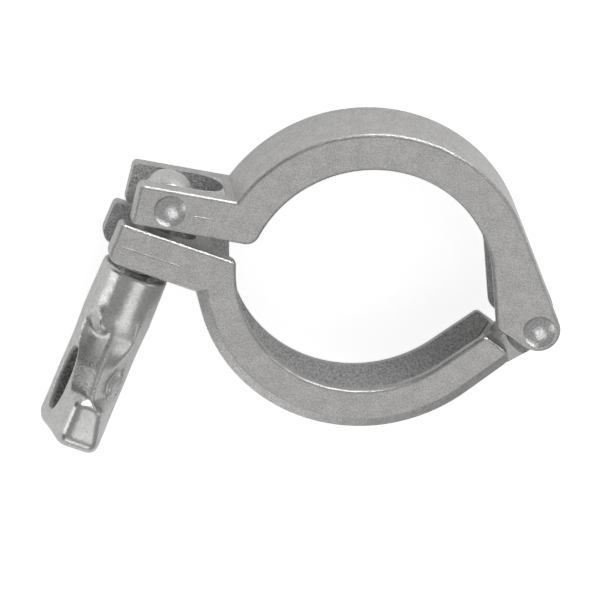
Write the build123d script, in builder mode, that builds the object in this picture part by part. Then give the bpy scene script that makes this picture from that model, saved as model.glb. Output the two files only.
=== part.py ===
from build123d import *
from math import acos, asin, atan2, cos, degrees, hypot, radians, sin, sqrt
import os

os.makedirs("parts", exist_ok=True)

# Hinged clamp for a 2 inch sanitary ferrule joint, lying on its back.
# +Z is the axis of the ferrules, and the origin is the centre of the upper half's groove.
# Millimetres and degrees.

# Ring and groove
body_width = 18.0
upper_lip_radius = 28.0
lower_lip_radius = 29.4
ring_wall = 8.9
groove_depth = 5.0
groove_floor_width = 7.8
groove_floor_round = 1.5
lip_land = 2.1
bevel_width = 2.2
bevel_depth = 1.0
edge_round = 0.9

# Hinge at the right of the ring
hinge_x = 40.2
hinge_y = -3.2
hinge_lobe_radius = 4.9
hinge_slot_width = 10.2
tongue_side_clearance = 0.1
tongue_lobe_radius = 4.4
tongue_sweep_clearance = 2.1
lobe_middle_angle = -30.0
foot_round = 3.0
upper_lip_straight_angle = 21.0
upper_arm_foot_x = 30.6
upper_arm_foot_y = -4.4

# Lower half, in its own plane: its ring is the origin, and it is closed past parallel by jaw_close
jaw_close = 9.0
lower_hinge_x = 42.5
lower_hinge_y = -1.0
lower_end_inner_x = 31.4
lower_end_inner_y = -6.0
lower_end_outer_x = 39.8
lower_end_outer_y = -8.6

# Lugs at the left of the ring
lug_height = 9.7
lug_slot_width = 10.2
upper_lug_end = 56.2
upper_lug_foot = 4.8
upper_slot_end = 36.2
lower_lug_end = 56.0
lower_lug_top = 8.6
lower_slot_end = 37.0
lower_lug_corner = 3.0
lug_corner = 1.2
end_corner = 2.5
tongue_root_inner = (35.0, -8.0)
tongue_root_outer = (39.4, -11.5)

# Rivet pins
pin_diameter = 6.0
pin_seat_clearance = 0.03
pin_running_clearance = 0.08
head_diameter = 7.1
head_rim = 0.5
head_height = 1.4
bolt_pin_x = -48.2
bolt_pin_y = 9.6

# Swing bolt
eye_diameter = 12.5
eye_side_clearance = 0.35
eye_flat_diameter = 9.0
rod_diameter = 8.0
rod_length = 42.0
rod_chamfer = 1.0

# Wing nut, measured down the bolt from the bolt pin
nut_top = 18.0
nut_length = 42.0
nut_barrel_diameter = 15.2
nut_bore_clearance = 0.08
nut_bore_length = 26.0
nut_top_round = 0.8
wing_span = 26.0
wing_end_width = 6.4
wing_start = 26.0
wing_start_half = 5.0
wing_side = 8.0
wing_side_round = 8.0
wing_end_round = 1.0
crest_start = 32.0
wing_block_height = 12.0
wing_step = 1.2
wing_bottom_round = 2.2
scoop_radius = 8.0
scoop_top = 37.0
scoop_top_side = 8.2
scoop_top_out = 9.8
scoop_foot = 43.5
scoop_foot_side = 8.0
scoop_foot_out = 11.3
dish_middle = 47.0
dish_radius = 9.0
dish_half_length = 10.5
dish_depth = 3.4


def on_circle(radius, angle):
    """The point of a circle about the origin at an angle in degrees."""
    return (radius * cos(radians(angle)), radius * sin(radians(angle)))


def tangent_angle(radius, x, y, side):
    """The angle where a line from (x, y) touches a circle about the origin."""
    return degrees(atan2(y, x)) + side * degrees(acos(radius / hypot(x, y)))


# Derived sizes and places
upper_outer_radius = upper_lip_radius + ring_wall
lower_outer_radius = lower_lip_radius + ring_wall
half_width = body_width / 2
mouth_half = half_width - lip_land
floor_half = groove_floor_width / 2
flank_slope = (mouth_half - floor_half) / groove_depth
upper_lug_top = upper_lug_foot + lug_height
lower_lug_foot = lower_lug_top + lug_height
through = 2 * body_width
pin_radius = pin_diameter / 2
head_radius = head_diameter / 2
head_top = half_width + head_height
rim_top = half_width + head_rim
dome_height = head_height - head_rim
dome_radius = (head_radius**2 + dome_height**2) / (2 * dome_height)
dome_half_angle = asin(head_radius / dome_radius) / 2
crown_x = dome_radius * sin(dome_half_angle)
crown_y = head_top - dome_radius * (1 - cos(dome_half_angle))
eye_half = lug_slot_width / 2 - eye_side_clearance
eye_flat_radius = eye_flat_diameter / 2
rod_radius = rod_diameter / 2
barrel_radius = nut_barrel_diameter / 2

hinge_centre = Vector(hinge_x, hinge_y, 0)
bolt_pin_centre = Vector(bolt_pin_x, bolt_pin_y, 0)
lower_x = Vector(cos(radians(jaw_close)), -sin(radians(jaw_close)), 0)
lower_y = Vector(sin(radians(jaw_close)), cos(radians(jaw_close)), 0)
lower_centre = hinge_centre - lower_x * lower_hinge_x - lower_y * lower_hinge_y
lower_plane = Plane(origin=lower_centre, x_dir=lower_x, z_dir=(0, 0, 1))
# The bolt hangs square to the lower lug: its own plane has Y up the bolt.
bolt_plane = Plane(origin=bolt_pin_centre, x_dir=lower_x, z_dir=(0, 0, 1))
bolt_axis = Axis(bolt_pin_centre, lower_y)


def groove_section(plane, lip_radius):
    """The groove's trapezoid, on a plane whose X is radial and whose Y is the ring's axis."""
    with BuildSketch(plane) as section:
        with BuildLine():
            Polyline(
                (lip_radius - 1, -mouth_half - flank_slope),
                (lip_radius + groove_depth, -floor_half),
                (lip_radius + groove_depth, floor_half),
                (lip_radius - 1, mouth_half + flank_slope),
                close=True,
            )
        make_face()
        floor_corners = section.vertices().group_by(Axis.X)[-1]
        fillet(floor_corners, radius=groove_floor_round)
    return section.sketch


# Upper half: ring, slotted lug on the left, hinge fork on the right
lug_root_x = -sqrt(upper_outer_radius**2 - upper_lug_top**2)
lip_end_x = -sqrt(upper_lip_radius**2 - upper_lug_foot**2)
hinge_reach = hypot(hinge_x, hinge_y)
outer_tangent = degrees(atan2(hinge_y, hinge_x)) + degrees(
    acos((upper_outer_radius - hinge_lobe_radius) / hinge_reach)
)
lobe_top = hinge_centre + Vector(*on_circle(hinge_lobe_radius, outer_tangent))
lobe_middle = hinge_centre + Vector(*on_circle(hinge_lobe_radius, lobe_middle_angle))
foot_dx = upper_arm_foot_x - hinge_x
foot_dy = upper_arm_foot_y - hinge_y
lobe_foot_angle = tangent_angle(hinge_lobe_radius, foot_dx, foot_dy, 1)
lobe_foot = hinge_centre + Vector(*on_circle(hinge_lobe_radius, lobe_foot_angle))
lip_straight = on_circle(upper_lip_radius, upper_lip_straight_angle)
upper_groove_plane = Plane(
    origin=(0, 0, 0),
    x_dir=(*on_circle(1, upper_lip_straight_angle), 0),
    z_dir=(*on_circle(1, upper_lip_straight_angle - 90), 0),
)

with BuildPart() as upper_half:
    with BuildSketch(Plane.XY.offset(-half_width)) as upper_outline:
        with BuildLine():
            Line((-upper_lug_end, upper_lug_top), (lug_root_x, upper_lug_top))
            ThreePointArc(
                (lug_root_x, upper_lug_top),
                on_circle(upper_outer_radius, 90),
                on_circle(upper_outer_radius, outer_tangent),
            )
            Line(on_circle(upper_outer_radius, outer_tangent), (lobe_top.X, lobe_top.Y))
            ThreePointArc(
                (lobe_top.X, lobe_top.Y),
                (lobe_middle.X, lobe_middle.Y),
                (lobe_foot.X, lobe_foot.Y),
            )
            Line((lobe_foot.X, lobe_foot.Y), (upper_arm_foot_x, upper_arm_foot_y))
            Line((upper_arm_foot_x, upper_arm_foot_y), lip_straight)
            ThreePointArc(lip_straight, on_circle(upper_lip_radius, 90), (lip_end_x, upper_lug_foot))
            Line((lip_end_x, upper_lug_foot), (-upper_lug_end, upper_lug_foot))
            Line((-upper_lug_end, upper_lug_foot), (-upper_lug_end, upper_lug_top))
        make_face()
        lug_corners = upper_outline.vertices().group_by(Axis.X)[0]
        fillet(lug_corners, radius=lug_corner)
        arm_foot = upper_outline.vertices().sort_by_distance((upper_arm_foot_x, upper_arm_foot_y))[0]
        fillet(arm_foot, radius=foot_round)
        lip_corner = upper_outline.vertices().sort_by_distance((lip_end_x, upper_lug_foot))[0]
        fillet(lip_corner, radius=foot_round)
    extrude(amount=body_width)
    fillet(upper_half.faces().filter_by(Axis.Z).edges(), radius=edge_round)
    groove = groove_section(upper_groove_plane, upper_lip_radius)
    revolve(groove, axis=Axis.Z, revolution_arc=180 - upper_lip_straight_angle, mode=Mode.SUBTRACT)
    extrude(groove, amount=body_width, mode=Mode.SUBTRACT)
    # Slot that the bolt swings in
    with BuildSketch(Plane.XZ.offset(-upper_lug_top - 1)) as upper_slot:
        with Locations((-upper_slot_end - lug_slot_width / 2, 0)):
            Circle(lug_slot_width / 2)
            Rectangle(upper_lug_end, lug_slot_width, align=(Align.MAX, Align.CENTER))
    extrude(amount=lug_height + 2, mode=Mode.SUBTRACT)
    # Slot of the hinge fork, round about the pin
    with BuildSketch(Plane.XY.offset(-hinge_slot_width / 2)) as fork_slot:
        with Locations((hinge_x, hinge_y)):
            Circle(hinge_lobe_radius + tongue_sweep_clearance)
            Rectangle(through, through, align=(Align.CENTER, Align.MAX))
    extrude(amount=hinge_slot_width, mode=Mode.SUBTRACT)
    # Bores for the two rivet pins
    with Locations((hinge_x, hinge_y, half_width), (bolt_pin_x, bolt_pin_y, half_width)):
        Hole(radius=pin_radius + pin_seat_clearance)

upper_half.part.label = "upper_half"

# Lower half: ring, slotted lug on the left, hinge tongue on the right
lower_lip_tangent = tangent_angle(lower_lip_radius, lower_end_inner_x, lower_end_inner_y, -1)
lower_outer_tangent = tangent_angle(lower_outer_radius, lower_end_outer_x, lower_end_outer_y, -1)
lower_lip_end_x = -sqrt(lower_lip_radius**2 - lower_lug_top**2)
lower_root_x = -sqrt(lower_outer_radius**2 - lower_lug_foot**2)
straight_length = sqrt(hypot(lower_end_inner_x, lower_end_inner_y) ** 2 - lower_lip_radius**2)
tongue_half = hinge_slot_width / 2 - tongue_side_clearance
tongue_dx = tongue_root_inner[0] - lower_hinge_x
tongue_dy = tongue_root_inner[1] - lower_hinge_y
lobe_left = on_circle(tongue_lobe_radius, tangent_angle(tongue_lobe_radius, tongue_dx, tongue_dy, -1))
tongue_dx = tongue_root_outer[0] - lower_hinge_x
tongue_dy = tongue_root_outer[1] - lower_hinge_y
lobe_right = on_circle(tongue_lobe_radius, tangent_angle(tongue_lobe_radius, tongue_dx, tongue_dy, 1))
lower_ring_axis = Axis(lower_centre, (0, 0, -1))
lower_slot_plane = Plane(origin=lower_centre - lower_y * (lower_lug_top - 1), x_dir=lower_x, z_dir=-lower_y)


def along_lower(angle):
    """The direction at an angle in the lower half's own plane."""
    return lower_x * cos(radians(angle)) + lower_y * sin(radians(angle))


lower_groove_plane = Plane(
    origin=lower_centre,
    x_dir=along_lower(lower_lip_tangent),
    z_dir=along_lower(lower_lip_tangent + 90),
)

lower_bevel_start = degrees(atan2(-lower_lug_foot, lower_root_x))
lower_bevel_arc = lower_outer_tangent - lower_bevel_start
lower_bevel_plane = Plane(
    origin=lower_centre,
    x_dir=along_lower(lower_outer_tangent),
    z_dir=along_lower(lower_outer_tangent + 90),
)
with BuildPart() as lower_half:
    with BuildSketch(lower_plane.offset(-half_width)) as lower_outline:
        with BuildLine():
            Line((-lower_lug_end, -lower_lug_top), (lower_lip_end_x, -lower_lug_top))
            ThreePointArc(
                (lower_lip_end_x, -lower_lug_top),
                on_circle(lower_lip_radius, -90),
                on_circle(lower_lip_radius, lower_lip_tangent),
            )
            Polyline(
                on_circle(lower_lip_radius, lower_lip_tangent),
                (lower_end_inner_x, lower_end_inner_y),
                (lower_end_outer_x, lower_end_outer_y),
                on_circle(lower_outer_radius, lower_outer_tangent),
            )
            ThreePointArc(
                on_circle(lower_outer_radius, lower_outer_tangent),
                on_circle(lower_outer_radius, -90),
                (lower_root_x, -lower_lug_foot),
            )
            Polyline(
                (lower_root_x, -lower_lug_foot),
                (-lower_lug_end, -lower_lug_foot),
                (-lower_lug_end, -lower_lug_top),
            )
        make_face()
        for corner, radius in (
            ((-lower_lug_end, -lower_lug_foot), lower_lug_corner),
            ((-lower_lug_end, -lower_lug_top), lug_corner),
            ((lower_lip_end_x, -lower_lug_top), lug_corner),
            ((lower_end_inner_x, lower_end_inner_y), lug_corner),
            ((lower_end_outer_x, lower_end_outer_y), end_corner),
        ):
            fillet(lower_outline.vertices().sort_by_distance(corner)[0], radius=radius)
    extrude(amount=body_width)
    # Bevel round the outside of the ring, on the front and the back
    for face in (1, -1):
        with BuildSketch(lower_bevel_plane) as bevel:
            with BuildLine():
                Polyline(
                    (lower_outer_radius - bevel_width, face * half_width),
                    (lower_outer_radius, face * (half_width - bevel_depth)),
                    (lower_outer_radius + bevel_width, face * half_width),
                    close=True,
                )
            make_face()
        revolve(bevel.sketch, axis=lower_ring_axis, revolution_arc=lower_bevel_arc, mode=Mode.SUBTRACT)
        extrude(bevel.sketch, amount=body_width, mode=Mode.SUBTRACT)
    fillet(lower_half.faces().filter_by(Axis.Z).edges(), radius=edge_round)
    groove = groove_section(lower_groove_plane, lower_lip_radius)
    revolve(groove, axis=lower_ring_axis, revolution_arc=180 + lower_lip_tangent, mode=Mode.SUBTRACT)
    extrude(groove, amount=2 * straight_length, mode=Mode.SUBTRACT)
    # Slot that the bolt drops into
    with BuildSketch(lower_slot_plane) as lower_slot:
        with Locations((-lower_slot_end - lug_slot_width / 2, 0)):
            Circle(lug_slot_width / 2)
            Rectangle(lower_lug_end, lug_slot_width, align=(Align.MAX, Align.CENTER))
    extrude(amount=lug_height + 2, mode=Mode.SUBTRACT)
    # Tongue that fills the fork, and its bore
    with BuildSketch(lower_plane.offset(-tongue_half)) as tongue:
        with BuildLine():
            Polyline(
                (lower_hinge_x + lobe_left[0], lower_hinge_y + lobe_left[1]),
                tongue_root_inner,
                tongue_root_outer,
                (lower_hinge_x + lobe_right[0], lower_hinge_y + lobe_right[1]),
                close=True,
            )
        make_face()
        with Locations((lower_hinge_x, lower_hinge_y)):
            Circle(tongue_lobe_radius)
    extrude(amount=2 * tongue_half)
    with Locations(Location(hinge_centre + Vector(0, 0, half_width))):
        Hole(radius=pin_radius + pin_running_clearance)

lower_half.part.label = "lower_half"


# Hinge pin and bolt pin: each is riveted over both legs, and its two heads are domed
pins = []
for pin_name, centre in (("hinge_pin", hinge_centre), ("bolt_pin", bolt_pin_centre)):
    with BuildPart() as pin:
        with BuildSketch(Plane(origin=centre, x_dir=(1, 0, 0), z_dir=(0, -1, 0))):
            with BuildLine():
                Line((0, -head_top), (0, head_top))
                ThreePointArc((0, head_top), (crown_x, crown_y), (head_radius, rim_top))
                Polyline(
                    (head_radius, rim_top),
                    (head_radius, half_width),
                    (pin_radius, half_width),
                    (pin_radius, -half_width),
                    (head_radius, -half_width),
                    (head_radius, -rim_top),
                )
                ThreePointArc((head_radius, -rim_top), (crown_x, -crown_y), (0, -head_top))
            make_face()
        revolve(axis=Axis(centre, (0, 0, 1)))
    pin.part.label = pin_name
    pins.append(pin)

# Swing bolt: a rounded eye on the bolt pin, and a rod that ends inside the nut
with BuildPart() as swing_bolt:
    with BuildSketch(Plane(origin=bolt_pin_centre, x_dir=(1, 0, 0), z_dir=(0, -1, 0))):
        with BuildLine():
            Polyline((eye_flat_radius, eye_half), (0, eye_half), (0, -eye_half), (eye_flat_radius, -eye_half))
            ThreePointArc((eye_flat_radius, -eye_half), (eye_diameter / 2, 0), (eye_flat_radius, eye_half))
        make_face()
    revolve(axis=Axis(bolt_pin_centre, (0, 0, 1)))
    with BuildSketch(bolt_plane):
        with BuildLine():
            Polyline(
                (0, 0),
                (rod_radius, 0),
                (rod_radius, rod_chamfer - rod_length),
                (rod_radius - rod_chamfer, -rod_length),
                (0, -rod_length),
                close=True,
            )
        make_face()
    revolve(axis=bolt_axis)
    with Locations(Location(bolt_pin_centre + Vector(0, 0, half_width))):
        Hole(radius=pin_radius + pin_running_clearance)

swing_bolt.part.label = "swing_bolt"

# Wing nut: a barrel that flares into two finger wings, scooped on all sides
nut_foot = nut_top + nut_length
nut_foot_plane = Plane(origin=bolt_pin_centre - lower_y * nut_foot, x_dir=lower_x, z_dir=lower_y)
nut_top_plane = nut_foot_plane.offset(nut_length)
grip_plane = Plane(origin=bolt_pin_centre, x_dir=(0, 0, 1), z_dir=-lower_x)
dish_offset = barrel_radius - dish_depth + dish_radius
scoops = []
for side in (1, -1):
    for face in (1, -1):
        start = bolt_pin_centre - lower_y * scoop_top + lower_x * side * scoop_top_side
        end = bolt_pin_centre - lower_y * scoop_foot + lower_x * side * scoop_foot_side
        scoops.append((start + Vector(0, 0, face * scoop_top_out), end + Vector(0, 0, face * scoop_foot_out)))

with BuildPart() as wing_nut:
    # Outline of the wings as seen from the side
    with BuildSketch(grip_plane):
        with BuildLine():
            Line((0, -wing_start), (wing_start_half, -wing_start))
            Spline(
                (wing_start_half, -wing_start),
                (barrel_radius, -crest_start),
                (wing_span / 2 - wing_step, wing_block_height - nut_foot),
            )
            Polyline(
                (wing_span / 2 - wing_step, wing_block_height - nut_foot),
                (wing_span / 2, wing_block_height - wing_step - nut_foot),
                (wing_span / 2, -nut_foot),
                (0, -nut_foot),
                (0, -wing_start),
            )
        make_face()
        mirror(about=Plane.YZ)
    extrude(amount=wing_side, both=True)

    # Plan of the wings: a lozenge with flat ends
    with BuildSketch(nut_foot_plane) as plan:
        with BuildLine():
            Polyline(
                (wing_end_width / 2, wing_span / 2),
                (wing_side, 0),
                (wing_end_width / 2, -wing_span / 2),
                (-wing_end_width / 2, -wing_span / 2),
                (-wing_side, 0),
                (-wing_end_width / 2, wing_span / 2),
                close=True,
            )
        make_face()
        back_corners, side_corners, front_corners = plan.vertices().group_by(Axis.Y)
        fillet(side_corners, radius=wing_side_round)
        fillet(back_corners + front_corners, radius=wing_end_round)
    extrude(amount=nut_length, mode=Mode.INTERSECT)
    wing_bottom = wing_nut.faces().sort_by(bolt_axis)[0].edges()
    fillet(wing_bottom, radius=wing_bottom_round)
    # Barrel
    with BuildSketch(nut_foot_plane.offset(wing_bottom_round)):
        Circle(barrel_radius)
    extrude(amount=nut_length - wing_bottom_round)
    barrel_rim = wing_nut.faces().sort_by(bolt_axis)[-1].edges()
    fillet(barrel_rim, radius=nut_top_round)
    # Scoops for the fingertips, one on each of the four slopes of the wings
    for start, end in scoops:
        with BuildSketch(Plane(origin=start, z_dir=end - start)):
            Circle(scoop_radius)
        extrude(amount=(end - start).length, mode=Mode.SUBTRACT)
        with Locations(Location(start), Location(end)):
            Sphere(radius=scoop_radius, mode=Mode.SUBTRACT)
    # Oval dish in the middle of each broad side
    for side in (1, -1):
        dish_centre = bolt_pin_centre - lower_y * dish_middle + lower_x * side * dish_offset
        with BuildSketch(Plane(origin=dish_centre, x_dir=lower_x, z_dir=(0, 0, 1))):
            Ellipse(dish_radius, dish_half_length)
            Rectangle(through, through, align=(Align.MIN, Align.CENTER), mode=Mode.SUBTRACT)
        revolve(axis=Axis(dish_centre, lower_y), mode=Mode.SUBTRACT)
    # Threaded bore, closed at the foot
    with BuildSketch(nut_top_plane):
        Circle(rod_radius + nut_bore_clearance)
    extrude(amount=-nut_bore_length, mode=Mode.SUBTRACT)

wing_nut.part.label = "wing_nut"

for piece in (upper_half, lower_half, *pins, swing_bolt, wing_nut):
    export_step(piece.part, f"parts/{piece.part.label}.step")
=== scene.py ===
import bmesh
import bpy
import math
import numpy as np
from mathutils import Matrix, Vector


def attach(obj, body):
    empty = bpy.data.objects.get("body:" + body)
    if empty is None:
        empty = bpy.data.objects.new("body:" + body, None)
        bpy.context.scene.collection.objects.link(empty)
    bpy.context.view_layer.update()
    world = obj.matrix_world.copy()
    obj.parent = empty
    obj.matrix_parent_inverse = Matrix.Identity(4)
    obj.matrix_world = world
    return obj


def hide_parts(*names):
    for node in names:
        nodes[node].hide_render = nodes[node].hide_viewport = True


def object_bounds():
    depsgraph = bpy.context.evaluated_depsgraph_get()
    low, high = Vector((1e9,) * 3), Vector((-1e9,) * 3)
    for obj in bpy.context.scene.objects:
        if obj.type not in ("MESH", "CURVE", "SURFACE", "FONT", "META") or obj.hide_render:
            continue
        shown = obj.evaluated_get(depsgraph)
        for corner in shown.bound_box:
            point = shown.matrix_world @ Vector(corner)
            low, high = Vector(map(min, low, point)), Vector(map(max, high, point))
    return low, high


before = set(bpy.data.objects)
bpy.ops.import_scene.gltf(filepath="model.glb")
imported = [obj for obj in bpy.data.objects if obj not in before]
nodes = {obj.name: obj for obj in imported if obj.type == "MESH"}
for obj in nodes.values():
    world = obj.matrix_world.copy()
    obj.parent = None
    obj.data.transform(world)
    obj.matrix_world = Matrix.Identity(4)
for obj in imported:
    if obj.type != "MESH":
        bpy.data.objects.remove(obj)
cadLow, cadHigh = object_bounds()
print("clamp loaded")

# Nodes for the finishes

def newFinish(name):
    finish = bpy.data.materials.new(name)
    finish.use_nodes = True
    tree = finish.node_tree
    tree.nodes.clear()
    out = tree.nodes.new("ShaderNodeOutputMaterial")
    shader = tree.nodes.new("ShaderNodeBsdfPrincipled")
    tree.links.new(shader.outputs[0], out.inputs[0])
    return finish, tree, shader

def feed(tree, socket, value):  # a socket or a plain number goes into a socket
    if isinstance(value, bpy.types.NodeSocket):
        tree.links.new(value, socket)
    else:
        socket.default_value = value

def calc(tree, operation, a, b=0.0):
    node = tree.nodes.new("ShaderNodeMath")
    node.operation = operation
    feed(tree, node.inputs[0], a)
    feed(tree, node.inputs[1], b)
    return node.outputs[0]

def ramp(tree, value, low, high, toLow=0.0, toHigh=1.0):  # smooth step from low to high
    node = tree.nodes.new("ShaderNodeMapRange")
    node.interpolation_type = "SMOOTHSTEP"
    feed(tree, node.inputs["Value"], value)
    node.inputs["From Min"].default_value = low
    node.inputs["From Max"].default_value = high
    node.inputs["To Min"].default_value = toLow
    node.inputs["To Max"].default_value = toHigh
    return node.outputs[0]

def blendColour(tree, factor, a, b):
    node = tree.nodes.new("ShaderNodeMix")
    node.data_type = "RGBA"
    feed(tree, node.inputs["Factor"], factor)
    feed(tree, node.inputs["A"], a)
    feed(tree, node.inputs["B"], b)
    return node.outputs["Result"]

def grain(tree, where, size, detail, roughness):  # noise with features of about this size
    node = tree.nodes.new("ShaderNodeTexNoise")
    tree.links.new(where, node.inputs["Vector"])
    node.inputs["Scale"].default_value = 1.0 / size
    node.inputs["Detail"].default_value = detail
    node.inputs["Roughness"].default_value = roughness
    return node.outputs["Fac"]

def bump(tree, height, distance):
    node = tree.nodes.new("ShaderNodeBump")
    node.inputs["Distance"].default_value = distance
    node.inputs["Strength"].default_value = 1.0
    tree.links.new(height, node.inputs["Height"])
    return node.outputs["Normal"]

def place(tree):  # the point on the piece, in its own coordinates
    return tree.nodes.new("ShaderNodeTexCoord").outputs["Object"]

def both(tree, a, b):
    return calc(tree, "MULTIPLY", a, b)

def either(tree, a, b):
    return calc(tree, "MAXIMUM", a, b)

def distanceTo(tree, x, y, centre):  # distance in the XY plane from a line along Z
    dx = calc(tree, "SUBTRACT", x, centre[0])
    dy = calc(tree, "SUBTRACT", y, centre[1])
    return calc(tree, "SQRT", calc(tree, "ADD", both(tree, dx, dx), both(tree, dy, dy)))

# Finishes: each casting is smooth outside and rough in its groove, bolt slot and fork

# Metres. A mark is (middle along, middle across, half length, half height, rise), from the ring's centre
# along and across the half's lugs. The masks give where one finish ends and where the next is full.
castSteel = {
    "face": (0.68, 0.672, 0.66, 1),
    "faceDark": (0.27, 0.268, 0.265, 1),
    "roughCast": (0.72, 0.72, 0.715, 1),
    "roughCastDark": (0.40, 0.40, 0.40, 1),
    "speckle": 0.00028,
    "cloud": 0.0028,
    "pebble": 0.00045,
    "faceRoughness": 0.30,
    "roughCastRoughness": 0.42,
    "speckleShare": 0.66,
    "cloudShare": 0.16,
    "speckleRise": 0.00008,
    "cloudRise": 0.00007,
    "pebbleRise": 0.0006,
    "mouthEdge": (0.00715, 0.0069),
    "lipEdge": (-0.0001, 0.0002),
    "floorEdge": (0.0058, 0.0054),
    "slotEdge": (0.0054, 0.0052),
    "slotEndEdge": (0.0003, -0.0001),
    "forkEdge": (0.0073, 0.0070),
    "frontFace": (0.0085, 0.0088),
    "marks": {
        "upperCasting": (
            (-0.04048, 0.00939, 0.00358, 0.00020, 0.00006),
            (-0.04034, 0.01027, 0.00220, 0.00110, -0.00005),
        ),
        "lowerCasting": (
            (-0.04671, -0.01377, 0.00794, 0.00022, 0.00010),
            (-0.03880, -0.01732, 0.00020, 0.00020, -0.00025),
        ),
    },
}

def frontMarks(tree, name, z, along, across):
    # Height in metres of the half's own faint cast and worn marks, on its front face only
    total = 0.0
    for middleAlong, middleAcross, halfLong, halfHigh, rise in castSteel["marks"][name]:
        u = calc(tree, "DIVIDE", calc(tree, "SUBTRACT", along, middleAlong), halfLong)
        v = calc(tree, "DIVIDE", calc(tree, "SUBTRACT", across, middleAcross), halfHigh)
        longways = calc(tree, "POWER", calc(tree, "ABSOLUTE", u), 4.0)
        inside = ramp(tree, calc(tree, "ADD", longways, both(tree, v, v)), 1.0, 0.3)
        total = calc(tree, "ADD", total, calc(tree, "MULTIPLY", inside, rise))
    return both(tree, total, ramp(tree, z, *castSteel["frontFace"]))

def turnedPart(tree, x, y, centre, xShare, yShare):  # (x - centre x) * xShare + (y - centre y) * yShare
    fromX = calc(tree, "MULTIPLY", calc(tree, "SUBTRACT", x, centre[0]), xShare)
    fromY = calc(tree, "MULTIPLY", calc(tree, "SUBTRACT", y, centre[1]), yShare)
    return calc(tree, "ADD", fromX, fromY)

def castFinish(name, ringCentre, lipRadius, hinge, slotEnd, lean):
    n = castSteel
    finish, tree, shader = newFinish(name)
    where = place(tree)
    split = tree.nodes.new("ShaderNodeSeparateXYZ")
    tree.links.new(where, split.inputs[0])
    x, y, z = split.outputs
    absZ = calc(tree, "ABSOLUTE", z)
    radius = distanceTo(tree, x, y, ringCentre)
    inMouth = ramp(tree, absZ, *n["mouthEdge"])
    beyondLip = ramp(tree, radius, *(lipRadius + edge for edge in n["lipEdge"]))
    insideFloor = ramp(tree, radius, *(lipRadius + edge for edge in n["floorEdge"]))
    groove = both(tree, inMouth, both(tree, beyondLip, insideFloor))
    alongLug = turnedPart(tree, x, y, ringCentre, math.cos(lean), -math.sin(lean))
    acrossLug = turnedPart(tree, x, y, ringCentre, math.sin(lean), math.cos(lean))
    inSlot = ramp(tree, absZ, *n["slotEdge"])
    boltSlot = both(tree, inSlot, ramp(tree, alongLug, *(edge - slotEnd for edge in n["slotEndEdge"])))
    fork = both(tree, inSlot, ramp(tree, distanceTo(tree, x, y, hinge), *n["forkEdge"]))
    rough = either(tree, groove, either(tree, boltSlot, fork))
    speckle = grain(tree, where, n["speckle"], 3.0, 0.75)
    cloud = grain(tree, where, n["cloud"], 5.0, 0.7)
    pebble = grain(tree, where, n["pebble"], 4.0, 0.65)
    speckled = ramp(tree, speckle, 0.38, 0.64, 0.0, n["speckleShare"])
    clouded = ramp(tree, cloud, 0.36, 0.62, 0.0, n["cloudShare"])
    faceColour = blendColour(tree, calc(tree, "ADD", speckled, clouded), n["face"], n["faceDark"])
    roughColour = blendColour(tree, ramp(tree, pebble, 0.35, 0.62), n["roughCastDark"], n["roughCast"])
    tree.links.new(blendColour(tree, rough, faceColour, roughColour), shader.inputs["Base Color"])
    shader.inputs["Metallic"].default_value = 1.0
    faceRough = calc(tree, "ADD", n["faceRoughness"] - 0.06, calc(tree, "MULTIPLY", speckle, 0.12))
    extra = calc(tree, "MULTIPLY", rough, n["roughCastRoughness"] - n["faceRoughness"])
    tree.links.new(calc(tree, "ADD", faceRough, extra), shader.inputs["Roughness"])
    speckleHeight = calc(tree, "MULTIPLY", speckle, n["speckleRise"])
    cloudHeight = calc(tree, "MULTIPLY", cloud, n["cloudRise"])
    roughHeight = calc(tree, "MULTIPLY", both(tree, pebble, rough), n["pebbleRise"])
    surface = calc(tree, "ADD", calc(tree, "ADD", speckleHeight, cloudHeight), roughHeight)
    height = calc(tree, "ADD", surface, frontMarks(tree, name, z, alongLug, acrossLug))
    tree.links.new(bump(tree, height, 1.0), shader.inputs["Normal"])
    return finish

# Where the features lie, in metres. The lower half is turned about the hinge by the lean, and its ring's centre
# lies ringAlong and ringAcross from the hinge.
lean = math.radians(9.0)
hingeCentre = (0.0402, -0.0032)
boltPin = Vector((-0.0482, 0.0096, 0.0))
ringAlong, ringAcross = 0.0425, 0.0010
lowerRing = (
    hingeCentre[0] - ringAlong * math.cos(lean) + ringAcross * math.sin(lean),
    hingeCentre[1] + ringAlong * math.sin(lean) + ringAcross * math.cos(lean),
)
downBolt = Vector((-math.sin(lean), -math.cos(lean), 0.0))
acrossBolt = Vector((math.cos(lean), -math.sin(lean), 0.0))

# Each half: its finish, its ring's centre, its lip's radius, where its bolt slot ends, and its turn
halves = {
    "upper_half": ("upperCasting", (0.0, 0.0), 0.0280, 0.0362, 0.0),
    "lower_half": ("lowerCasting", lowerRing, 0.0294, 0.0370, lean),
}
for half, (name, ringCentre, lipRadius, slotEnd, turn) in halves.items():
    nodes[half].data.materials[0] = castFinish(name, ringCentre, lipRadius, hingeCentre, slotEnd, turn)
print("castings finished")

polishedPin = {
    "colour": (0.72, 0.72, 0.715, 1),
    "dull": (0.55, 0.55, 0.545, 1),
    "roughness": 0.14,
    "fine": 0.0005,
    "fineRise": 0.00005,
}

def pinFinish():
    finish, tree, shader = newFinish("polishedPin")
    fine = grain(tree, place(tree), polishedPin["fine"], 3.0, 0.6)
    colour = blendColour(tree, ramp(tree, fine, 0.4, 0.7), polishedPin["colour"], polishedPin["dull"])
    tree.links.new(colour, shader.inputs["Base Color"])
    shader.inputs["Metallic"].default_value = 1.0
    roughness = calc(tree, "ADD", polishedPin["roughness"], calc(tree, "MULTIPLY", fine, 0.12))
    tree.links.new(roughness, shader.inputs["Roughness"])
    tree.links.new(bump(tree, fine, polishedPin["fineRise"]), shader.inputs["Normal"])
    return finish

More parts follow.
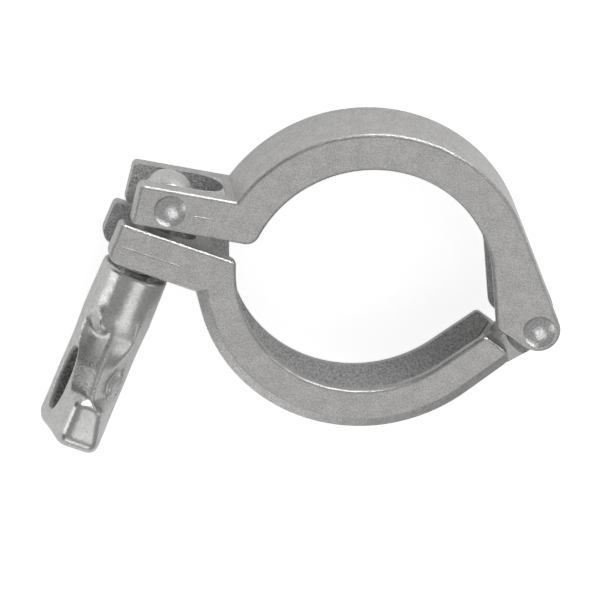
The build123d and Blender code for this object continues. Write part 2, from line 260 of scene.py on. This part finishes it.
pinMetal = pinFinish()
for pin in ("hinge_pin", "bolt_pin"):
    nodes[pin].data.materials[0] = pinMetal

# Surfaces on a grid

def gridPiece(name, points, body, closeRows=False, marks=()):
    # The points are rows x columns x 3, and the columns close on themselves. Either the rows close too, or the
    # first and the last row each lie on one point. A mark is a name and a value for every point.
    rows, columns = points.shape[:2]
    index = np.arange(rows * columns).reshape(rows, columns)
    a, b = index[:-1], index[1:]
    quads = np.stack([a, b, np.roll(b, -1, axis=1), np.roll(a, -1, axis=1)], axis=-1).reshape(-1, 4)
    if closeRows:
        last = np.stack([index[-1], index[0], np.roll(index[0], -1), np.roll(index[-1], -1)], axis=-1)
        quads = np.concatenate([quads, last])
    mesh = bpy.data.meshes.new(name)
    mesh.vertices.add(rows * columns)
    mesh.vertices.foreach_set("co", points.reshape(-1).astype(np.float32))
    mesh.loops.add(quads.size)
    mesh.loops.foreach_set("vertex_index", quads.reshape(-1).astype(np.int32))
    mesh.polygons.add(len(quads))
    mesh.polygons.foreach_set("loop_start", np.arange(0, quads.size, 4, dtype=np.int32))
    mesh.update(calc_edges=True)
    for mark, values in marks:
        attribute = mesh.attributes.new(mark, "FLOAT", "POINT")
        attribute.data.foreach_set("value", values.reshape(-1).astype(np.float32))
    work = bmesh.new()
    work.from_mesh(mesh)
    bmesh.ops.remove_doubles(work, verts=work.verts, dist=1e-6)
    bmesh.ops.recalc_face_normals(work, faces=work.faces)
    work.to_mesh(mesh)
    work.free()
    mesh.polygons.foreach_set("use_smooth", np.ones(len(mesh.polygons), dtype=bool))
    piece = bpy.data.objects.new(name, mesh)
    bpy.context.scene.collection.objects.link(piece)
    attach(piece, body)
    return piece

def alongBolt(side, out, down):  # millimetres from the bolt pin, in the bolt's own directions, to metres
    across = np.array(acrossBolt)
    below = np.array(downBolt)
    start = np.array(boltPin)
    outward = np.array((0.0, 0.0, 1.0))
    return start + (side[..., None] * across + down[..., None] * below + out[..., None] * outward) * 0.001

def soften(values, steps):  # repeated average of each value with its neighbours
    for _ in range(steps):
        left = np.roll(values, 1, axis=1)
        right = np.roll(values, -1, axis=1)
        up = np.concatenate([values[:1], values[:-1]])
        down = np.concatenate([values[1:], values[-1:]])
        values = (values * 2 + left + right + up + down) / 6
    return values

def spread(value, low, high):  # smooth step from low to high
    t = np.clip((value - low) / (high - low), 0, 1)
    return t * t * (3 - 2 * t)

# Millimetres down the bolt from its pin, and degrees about the bolt from its sideways direction toward +Z.
# A pair of lists is a table of values by distance down. The dish is (turn, down, half length, half width,
# depth), and the pad is (turn, down, half length, half width, rise, lean).
wingNut = {
    "top": 18.0,
    "foot": 60.0,
    "barrel": ([18, 24, 30, 37], [7.6, 7.7, 7.8, 7.5]),
    "side": ([30, 38, 44], [7.6, 7.7, 7.85]),
    "span": 12.92,
    "wingFrom": (26.0, 33.0),
    "hollowFrom": ((30.0, 44.0), (28.0, 35.0)),
    "crest": ([26, 30, 33, 36, 41.4, 46.7], [7.4, 7.9, 8.4, 9.3, 10.7, 11.9]),
    "crestSide": ([30, 36, 41, 47, 60], [1.0, 1.05, 1.0, 0.4, 0.0]),
    "stepAt": (47.3, 48.1),
    "endRight": ([46, 49, 59], [2.5, 2.8, 5.3]),
    "endLeft": 3.6,
    "rightEdge": ([32, 35, 39, 42.5, 45, 60], [62, 53, 42, 32, 28, 28]),
    "rightDepth": ([32.5, 36, 40, 44, 47], [0.0, 0.5, 0.7, 0.7, 0.5]),
    "leftEdge": ([29, 32, 35, 39, 41, 46, 50, 60], [150, 160, 158, 146, 138, 128, 114, 108]),
    "leftDepth": ([28, 31, 33.5, 36, 39, 47], [0.0, 0.4, 0.9, 0.6, 0.15, 0.0]),
    "dish": (151.0, 46.8, 8.0, 2.3, 2.6),
    "pad": (52.0, 43.9, 3.3, 2.2, 1.2, 20.0),
    "bore": 4.08,
    "boreEnd": 44.0,
    "topRound": 0.9,
    "footRound": 3.8,
    "columns": 256,
    "step": 0.2,
    "soften": 9,
    "softenFoot": 30,
    "footFrom": (46.2, 47.8),
    "thinnest": 5.0,
    "padRadius": 8.6,
    "dishRadius": 7.6,
}

def nutRadius(angle, down):
    # Distance from the bolt's axis to the skin. The plan is a lozenge with flat ends, joined to a round barrel.
    # Each quarter has a hollow, a chord less a parabola, from the crest to an edge down to the side.
    n = wingNut
    half = np.mod(angle, np.pi)
    turn = np.degrees(half)
    c, sn = np.abs(np.cos(half)), np.maximum(np.sin(half), 1e-6)
    barrel, wide = np.interp(down, *n["barrel"]), np.interp(down, *n["side"])
    right = turn < 90
    span = np.interp(down, n["crest"][0], n["crest"][1])
    span = span + (n["span"] - span) * spread(down, *n["stepAt"])
    endSide = np.where(right, np.interp(down, *n["endRight"]), n["endLeft"])
    facet = wide * n["span"] / (n["span"] * c + (wide - endSide) * sn)
    wing = np.minimum(facet, span / sn)
    skin = barrel + np.maximum(wing - barrel, 0) * spread(down, *n["wingFrom"])
    # hollows: from the crest's foot (crestX, span) to the edge's point on the skin
    crestX = -np.interp(down, *n["crestSide"])
    crestTurn = np.degrees(np.arctan2(span, crestX))
    hollow = np.zeros_like(skin)
    rightSide = (n["rightEdge"], n["rightDepth"], n["hollowFrom"][0], np.interp(down, *n["endRight"]))
    leftSide = (n["leftEdge"], n["leftDepth"], n["hollowFrom"][1], np.full_like(down, n["endLeft"]))
    for edge, depth, start, endHere in (rightSide, leftSide):
        edgeTurn = np.interp(down, *edge)
        e = np.radians(edgeTurn)
        ec, es = np.abs(np.cos(e)), np.sin(e)
        edgeFacet = wide * n["span"] / (n["span"] * ec + (wide - endHere) * es)
        edgeRadius = np.maximum(barrel, np.minimum(edgeFacet, span / es))
        ax, az = crestX, span
        bx, bz = edgeRadius * np.cos(e), edgeRadius * np.sin(e)
        nx, nz = bz - az, ax - bx
        flip = np.where(nx * ax + nz * az < 0, -1.0, 1.0)
        nx, nz = nx * flip, nz * flip
        toChord = (nx * ax + nz * az) / np.maximum(nx * np.cos(half) + nz * np.sin(half), 1e-3)
        t = (turn - edgeTurn) / (crestTurn - edgeTurn)
        inside = (t > 0) & (t < 1) & (down < n["stepAt"][1])
        cut = toChord - np.interp(down, *depth) * 4 * t * (1 - t)
        gone = np.clip(skin - np.maximum(cut, n["thinnest"]), 0, None)
        deeper = np.where(inside, gone, 0.0) * spread(down, *start)
        skin = skin - deeper
        hollow = np.where(inside, spread(down, *start), hollow)
    # raised oval pad
    padTurn, padDown, padLong, padWide, padHigh, padLean = n["pad"]
    a = np.radians(padTurn - turn) * n["padRadius"]
    b = -(down - padDown)
    tilt = math.radians(padLean)
    longways = (b * math.cos(tilt) + a * math.sin(tilt)) / padLong
    sideways = (a * math.cos(tilt) - b * math.sin(tilt)) / padWide
    u = longways**2 + sideways**2
    skin = skin + padHigh * spread(1 - u, -0.1, 0.35)
    # oval dish on the other pair of slopes, beside the barrel's side
    dishTurn, dishDown, dishLong, dishWide, dishDeep = n["dish"]
    u = (np.radians(turn - dishTurn) * n["dishRadius"] / dishWide) ** 2 + ((down - dishDown) / dishLong) ** 2
    return skin, dishDeep * np.sqrt(np.clip(1 - u, 0, 1)), hollow

def makeNut():
    n = wingNut
    angle = np.linspace(0, 2 * np.pi, n["columns"], endpoint=False)
    down = np.arange(n["top"], n["foot"] + 1e-6, n["step"])
    turn, level = np.meshgrid(angle, down)
    skin, dish, hollow = nutRadius(turn, level)
    inDish = soften(spread(dish, 0.2, 0.9), 1)
    skin = soften(skin, n["soften"])
    skin = skin + (soften(skin, n["softenFoot"]) - skin) * spread(level, *n["footFrom"]) - soften(dish, 1)
    # the foot and the top rim are rounded: inset by a quarter circle
    low = np.clip(level - (n["foot"] - n["footRound"]), 0, n["footRound"])
    high = np.clip(n["top"] + n["topRound"] - level, 0, n["topRound"])
    footInset = n["footRound"] - np.sqrt(n["footRound"] ** 2 - low**2)
    topInset = n["topRound"] - np.sqrt(n["topRound"] ** 2 - high**2)
    skin = skin - footInset - topInset
    inner = np.linspace(0, 1, 9)[1:, None] * np.ones_like(angle)
    footSkin, footLevel = skin[-1] * (1 - inner), np.full_like(inner, n["foot"])
    rim = n["bore"] + (skin[0] - n["bore"]) * (1 - inner)[::-1]
    rimLevel = np.full_like(rim, n["top"])
    well = np.linspace(n["boreEnd"], n["top"], 20)[:-1, None] * np.ones_like(angle)
    wellSkin = np.full_like(well, n["bore"])
    rim, rimLevel = rim[:-1], rimLevel[:-1]
    bottom = np.linspace(0, 1, 4)[:-1, None] * np.ones_like(angle) * n["bore"]
    mouth = np.ones((1, len(angle)))
    radius = np.concatenate([bottom, wellSkin, mouth * n["bore"], rim, skin, footSkin])
    bottomLevel = np.full_like(bottom, n["boreEnd"])
    depth = np.concatenate([bottomLevel, well, mouth * n["top"], rimLevel, level, footLevel])
    around = np.broadcast_to(angle, radius.shape)
    before, after = len(radius) - len(skin) - len(footSkin), len(footSkin)
    marks = [("dish", inDish), ("hollow", soften(hollow, 4))]
    marks = [(name, np.pad(values, ((before, after), (0, 0)))) for name, values in marks]
    points = alongBolt(radius * np.cos(around), radius * np.sin(around), depth)
    nut = gridPiece("wingNutCasting", points, "wing_nut", marks=marks)
    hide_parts("wing_nut")
    return nut

nutPiece = makeNut()
print("wing nut made", len(nutPiece.data.polygons), "faces")

# Millimetres. Rod, eye and bore sizes are radii, and the neck is where the rod widens into the eye. The
# thread's wave is crest - flank * (distance from the middle of a turn, in turns), kept from 0 to 1.
boltRod = {
    "rod": 3.99,
    "pitch": 1.25,
    "depth": 0.70,
    "crest": 1.3,
    "flank": 3.2,
    "start": 3.4,
    "threadFrom": 9.0,
    "threadFade": 2.0,
    "neck": (7.2, 4.8),
    "neckRise": 0.5,
    "widest": 4.5,
    "end": 42.0,
    "endChamfer": 1.0,
    "eyeWide": 6.25,
    "eyeFlat": 4.5,
    "eyeHalf": 4.75,
    "bore": 3.08,
    "columns": 60,
    "eyeColumns": 96,
}

def makeBolt():
    # Rod: its radius less a trapezoid wave of (distance down / pitch - turns round), fading in under the neck.
    # Eye: an arc over the rim, the flats and the bore's wall, turned about the pin.
    n = boltRod
    angle = np.linspace(0, 2 * np.pi, n["columns"], endpoint=False)
    down = np.arange(n["start"], n["end"] + 1e-6, n["pitch"] / 8)
    turn, level = np.meshgrid(angle, down)
    phase = np.mod(level / n["pitch"] - turn / (2 * np.pi), 1.0)
    wave = np.clip(n["crest"] - np.abs(phase - 0.5) * n["flank"], 0, 1)
    fade = spread(level, n["threadFrom"], n["threadFrom"] + n["threadFade"])
    radius = n["rod"] - n["depth"] * wave * fade + n["neckRise"] * spread(level, *n["neck"])
    chamfer = np.clip(level - (n["end"] - n["endChamfer"]), 0, n["endChamfer"])
    radius = np.minimum(radius, n["widest"]) - chamfer
    closing = np.zeros((1, len(angle)))
    radius = np.concatenate([closing, radius, closing])
    level = np.concatenate([np.full_like(closing, down[0]), level, np.full_like(closing, down[-1])])
    around = np.broadcast_to(angle, radius.shape)
    points = alongBolt(radius * np.cos(around), radius * np.sin(around), level)
    rod = gridPiece("threadedRod", points, "swing_bolt")
    rise = n["eyeWide"] - n["eyeFlat"]
    swell = (rise**2 + n["eyeHalf"] ** 2) / (2 * rise)
    t = np.linspace(-1, 1, 25)
    lift = t * n["eyeHalf"]
    outer = n["eyeWide"] - swell + np.sqrt(swell**2 - lift**2)
    inward = np.linspace(n["eyeFlat"], n["bore"], 5)[1:]
    outward = np.linspace(n["bore"], n["eyeFlat"], 5)[1:-1]
    wall = np.linspace(n["eyeHalf"], -n["eyeHalf"], 9)[1:]
    ringRadius = np.concatenate([outer, inward, np.full_like(wall, n["bore"]), outward])[:, None]
    near, far = np.full_like(inward, n["eyeHalf"]), np.full_like(outward, -n["eyeHalf"])
    ringLift = np.concatenate([lift, near, wall, far])
    around = np.linspace(0, 2 * np.pi, n["eyeColumns"], endpoint=False)
    ringLift = ringLift[:, None] * np.ones_like(around)
    points = np.stack([ringRadius * np.cos(around), ringRadius * np.sin(around), ringLift], axis=-1)
    points = points * 0.001 + np.array(boltPin)
    eye = gridPiece("boltEye", points, "swing_bolt", closeRows=True)
    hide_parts("swing_bolt")
    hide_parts("swing_bolt")
    return rod, eye

rodPiece, eyePiece = makeBolt()
print("swing bolt made")

shinyNut = {
    "colour": (0.64, 0.637, 0.63, 1),
    "dull": (0.47, 0.468, 0.462, 1),
    "pit": (0.10, 0.10, 0.10, 1),
    "roughness": 0.26,
    # the dish floor colours are the as-cast finish darkened further with painted shade of the recess
    "dishRoughAndShadeDark": (0.13, 0.13, 0.13, 1),
    "dishRoughAndShadeLight": (0.34, 0.34, 0.335, 1),
    "fine": 0.0006,
    "wide": 0.003,
    "pebble": 0.0005,
    "fineShare": 0.6,
    "wideShare": 0.3,
    "pitShare": 0.8,
    "hollowLumps": 0.12,
    "fineRise": 0.000022,
    "wideRise": 0.00006,
    "pebbleRise": 0.0005,
}

def markOf(tree, name):
    node = tree.nodes.new("ShaderNodeAttribute")
    node.attribute_name = name
    return node.outputs["Fac"]

def nutFinish():
    n = shinyNut
    finish, tree, shader = newFinish("shinyNut")
    where = place(tree)
    fine = grain(tree, where, n["fine"], 3.0, 0.7)
    wide = grain(tree, where, n["wide"], 3.0, 0.6)
    pebble = grain(tree, where, n["pebble"], 4.0, 0.65)
    fineMix = ramp(tree, fine, 0.42, 0.64, 0.0, n["fineShare"])
    wideMix = ramp(tree, wide, 0.35, 0.7, 0.0, n["wideShare"])
    skin = blendColour(tree, calc(tree, "ADD", fineMix, wideMix), n["colour"], n["dull"])
    # dark specks in the hollows, and a rough dark floor in the dishes, darkened both for its as-cast finish and
    # as painted shade of the recess
    dish, hollow = markOf(tree, "dish"), markOf(tree, "hollow")
    specks = both(tree, hollow, ramp(tree, pebble, 0.60, 0.68, 0.0, n["pitShare"]))
    skin = blendColour(tree, specks, skin, n["pit"])
    floor = blendColour(tree, ramp(tree, pebble, 0.38, 0.62), n["dishRoughAndShadeDark"], n["dishRoughAndShadeLight"])
    tree.links.new(blendColour(tree, dish, skin, floor), shader.inputs["Base Color"])
    shader.inputs["Metallic"].default_value = 1.0
    rough = calc(tree, "ADD", n["roughness"] - 0.06, calc(tree, "MULTIPLY", wide, 0.16))
    tree.links.new(calc(tree, "ADD", rough, calc(tree, "MULTIPLY", dish, 0.2)), shader.inputs["Roughness"])
    lumpy = either(tree, dish, calc(tree, "MULTIPLY", hollow, n["hollowLumps"]))
    lumps = calc(tree, "MULTIPLY", both(tree, pebble, lumpy), n["pebbleRise"])
    fineHeight = calc(tree, "MULTIPLY", fine, n["fineRise"])
    wideHeight = calc(tree, "MULTIPLY", wide, n["wideRise"])
    height = calc(tree, "ADD", calc(tree, "ADD", fineHeight, wideHeight), lumps)
    tree.links.new(bump(tree, height, 1.0), shader.inputs["Normal"])
    return finish

nutMetal = nutFinish()
for piece, metal in ((nutPiece, nutMetal), (rodPiece, pinMetal), (eyePiece, nutMetal)):
    piece.data.materials.append(metal)
print("nut, pins and bolt finished")

# Floor, light and camera

# A lamp is (name, direction to it, distance, width, height, power), in metres and watts
studio = {
    "floorSize": 3.0,
    "floorDrop": 0.0002,
    "floorColour": (0.86, 0.86, 0.86, 1),
    "floorGlow": 0.70,
    "horizon": 0.40,
    "zenith": 0.48,
    "skyRise": (-0.1, 0.95),
    "leftDark": 0.75,
    "leftFrom": (-0.25, -0.85),
    "leftBelow": (0.55, 0.25),
    "glossyGlow": 0.38,
    "lamps": (
        ("backKey", (0.18, 0.93, 0.36), 0.9, 0.6, 0.12, 3.9),
        ("topFill", (0.22, -0.30, 0.93), 1.2, 0.6, 0.8, 1.25),
        ("lowFill", (-0.2, -0.9, 0.38), 1.0, 0.8, 0.3, 1.1),
        ("leftFill", (-0.95, -0.18, 0.20), 1.1, 0.26, 0.6, 1.0),
        ("rightFill", (0.9, 0.1, 0.55), 1.1, 0.4, 0.6, 0.5),
    ),
}

def whiteByRay(tree):  # full for camera rays, less for glossy and transmission rays
    path = tree.nodes.new("ShaderNodeLightPath")
    mirrored = either(tree, path.outputs["Is Glossy Ray"], path.outputs["Is Transmission Ray"])
    return either(tree, path.outputs["Is Camera Ray"], calc(tree, "MULTIPLY", mirrored, studio["glossyGlow"]))

def makeFloor():
    half = studio["floorSize"] / 2
    level = cadLow.z - studio["floorDrop"]
    mesh = bpy.data.meshes.new("floor")
    corners = [(-half, -half, level), (half, -half, level), (half, half, level), (-half, half, level)]
    mesh.from_pydata(corners, [], [(0, 1, 2, 3)])
    floor = bpy.data.objects.new("floor", mesh)
    bpy.context.scene.collection.objects.link(floor)
    finish = bpy.data.materials.new("paleFloor")
    finish.use_nodes = True
    tree = finish.node_tree
    tree.nodes.clear()
    out = tree.nodes.new("ShaderNodeOutputMaterial")
    plain = tree.nodes.new("ShaderNodeBsdfDiffuse")
    plain.inputs["Color"].default_value = studio["floorColour"]
    glow = tree.nodes.new("ShaderNodeEmission")
    tree.links.new(calc(tree, "MULTIPLY", whiteByRay(tree), studio["floorGlow"]), glow.inputs["Strength"])
    total = tree.nodes.new("ShaderNodeAddShader")
    tree.links.new(plain.outputs[0], total.inputs[0])
    tree.links.new(glow.outputs[0], total.inputs[1])
    tree.links.new(total.outputs[0], out.inputs[0])
    mesh.materials.append(finish)

def makeWorld():
    world = bpy.data.worlds.new("studioRoom")
    bpy.context.scene.world = world
    world.use_nodes = True
    tree = world.node_tree
    tree.nodes.clear()
    out = tree.nodes.new("ShaderNodeOutputWorld")
    ground = tree.nodes.new("ShaderNodeBackground")
    coord = tree.nodes.new("ShaderNodeTexCoord")
    split = tree.nodes.new("ShaderNodeSeparateXYZ")
    tree.links.new(coord.outputs["Generated"], split.inputs[0])
    height = ramp(tree, split.outputs["Z"], *studio["skyRise"], studio["horizon"], studio["zenith"])
    left = ramp(tree, split.outputs["X"], *studio["leftFrom"], 0.0, studio["leftDark"])
    low = ramp(tree, split.outputs["Z"], *studio["leftBelow"])
    side = calc(tree, "SUBTRACT", 1.0, both(tree, left, low))
    room = both(tree, height, side)
    path = tree.nodes.new("ShaderNodeLightPath")
    strength = either(tree, room, path.outputs["Is Camera Ray"])
    tree.links.new(strength, ground.inputs["Strength"])
    tree.links.new(ground.outputs[0], out.inputs[0])

def softbox(name, direction, distance, width, height, power):
    data = bpy.data.lights.new(name, "AREA")
    data.shape = "RECTANGLE"
    data.size = width
    data.size_y = height
    data.energy = power
    lamp = bpy.data.objects.new(name, data)
    bpy.context.scene.collection.objects.link(lamp)
    away = Vector(direction).normalized()
    lamp.location = away * distance
    lamp.rotation_mode = "QUATERNION"
    lamp.rotation_quaternion = (-away).to_track_quat("-Z", "Y")

makeFloor()
makeWorld()
for lampPlan in studio["lamps"]:
    softbox(*lampPlan)

cameraPlan = {
    "toCamera": (-0.177, 0.331, 0.927),
    "right": (0.969, 0.224, 0.105),
    "up": (-0.173, 0.917, -0.360),
    "width": 0.1348,
    "lens": 900.0,
    "sensor": 36.0,
    "sideShift": -0.0146,
    "upShift": -0.0059,
}

def makeCamera():
    data = bpy.data.cameras.new("viewer")
    data.lens = cameraPlan["lens"]
    data.sensor_width = cameraPlan["sensor"]
    camera = bpy.data.objects.new("viewer", data)
    bpy.context.scene.collection.objects.link(camera)
    back = Vector(cameraPlan["toCamera"]).normalized()
    side = Vector(cameraPlan["right"])
    side = (side - back * side.dot(back)).normalized()
    top = back.cross(side)
    centre = side * cameraPlan["sideShift"] + top * cameraPlan["upShift"]
    reach = cameraPlan["width"] * data.lens / data.sensor_width
    turned = Matrix((side, top, back)).transposed().to_4x4()
    camera.matrix_world = Matrix.Translation(centre + back * reach) @ turned
    data.clip_start = 0.05
    data.clip_end = 20.0
    bpy.context.scene.camera = camera

makeCamera()
bpy.context.scene.view_settings.view_transform = "Standard"
print("studio ready")
